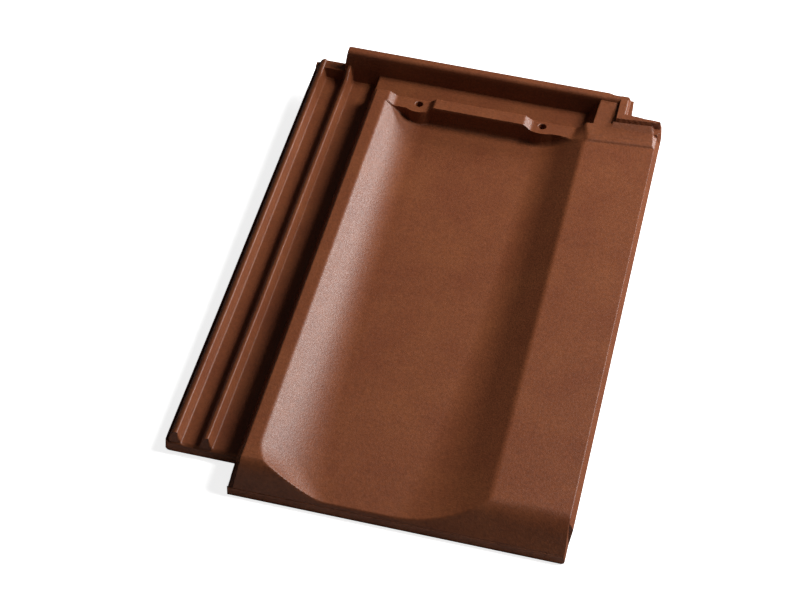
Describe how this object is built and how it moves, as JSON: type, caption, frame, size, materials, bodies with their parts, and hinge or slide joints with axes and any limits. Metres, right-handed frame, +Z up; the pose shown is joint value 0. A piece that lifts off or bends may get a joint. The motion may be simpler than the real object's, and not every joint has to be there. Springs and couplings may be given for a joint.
{
  "type": "clay roof tile",
  "caption": "Pressed clay interlocking roof tile with a shallow trough, ribbed side interlock, cover flap, head rim, nail holes and hanging nibs.",
  "frame": {"origin": "middle of the bounding box in plan, on the floor that the tile lies on", "axes": "+Y from the front lip up to the head rim, +X from the ribbed side interlock to the cover flap, +Z up; the tile leans 1.4 degrees, head up, because it lies on its lip and nibs"},
  "size_m": [0.2838, 0.4296, 0.0472],
  "materials": {
    "clay": "satin engobe on fired clay"
  },
  "bodies": {
    "root": {"clay_tile": "clay"}
  },
  "joints": []
}
